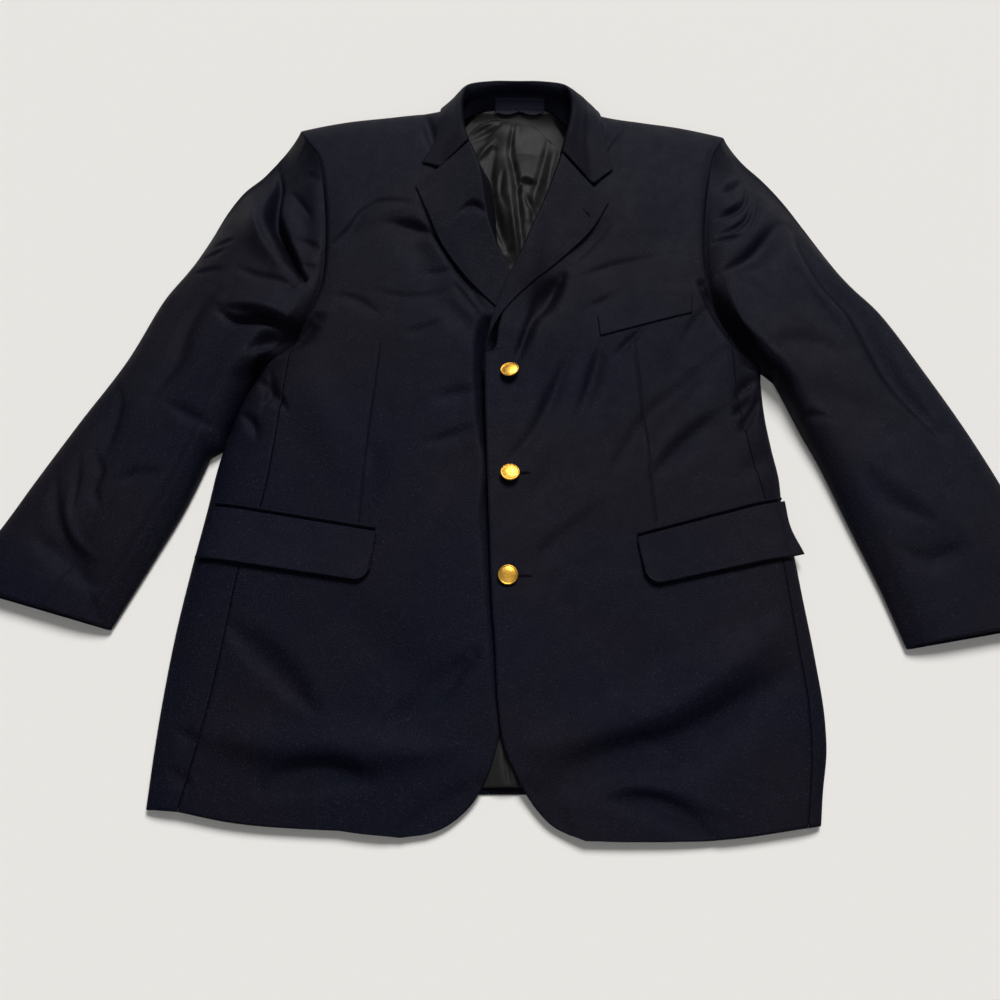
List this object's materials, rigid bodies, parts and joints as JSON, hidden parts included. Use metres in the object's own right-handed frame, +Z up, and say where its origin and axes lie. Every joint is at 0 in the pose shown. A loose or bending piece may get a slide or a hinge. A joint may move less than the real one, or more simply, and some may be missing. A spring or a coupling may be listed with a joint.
{
  "type": "blazer",
  "caption": "Dark navy wool single-breasted blazer laid flat with its front up: notched lapels, flap pockets, a chest welt and gold-tone shank buttons.",
  "frame": {"origin": "centre of the laid garment's outline, on the surface it lies on", "axes": "+X towards the wearer's left sleeve, +Y from the hem to the collar, +Z up out of the front"},
  "size_m": [1.09, 0.8911, 0.0492],
  "materials": {
    "navy_wool": "matte",
    "black_lining": "satin",
    "label_satin": "satin",
    "gold": "polished"
  },
  "bodies": {
    "root": {"back_left": "navy_wool", "back_right": "navy_wool", "side_left": "navy_wool", "side_right": "navy_wool", "front_left": "navy_wool", "front_right": "navy_wool", "facing_left": "navy_wool", "facing_right": "navy_wool", "collar": "navy_wool", "collar_stand": "navy_wool", "sleeve_upper_left": "navy_wool", "sleeve_upper_right": "navy_wool", "sleeve_under_left": "navy_wool", "sleeve_under_right": "navy_wool", "flap_left": "navy_wool", "flap_right": "navy_wool", "jet_left": "navy_wool", "jet_right": "navy_wool", "chest_welt": "navy_wool", "lining_back": "black_lining", "label": "label_satin", "button_1": "gold", "button_2": "gold", "button_3": "gold"}
  },
  "joints": []
}
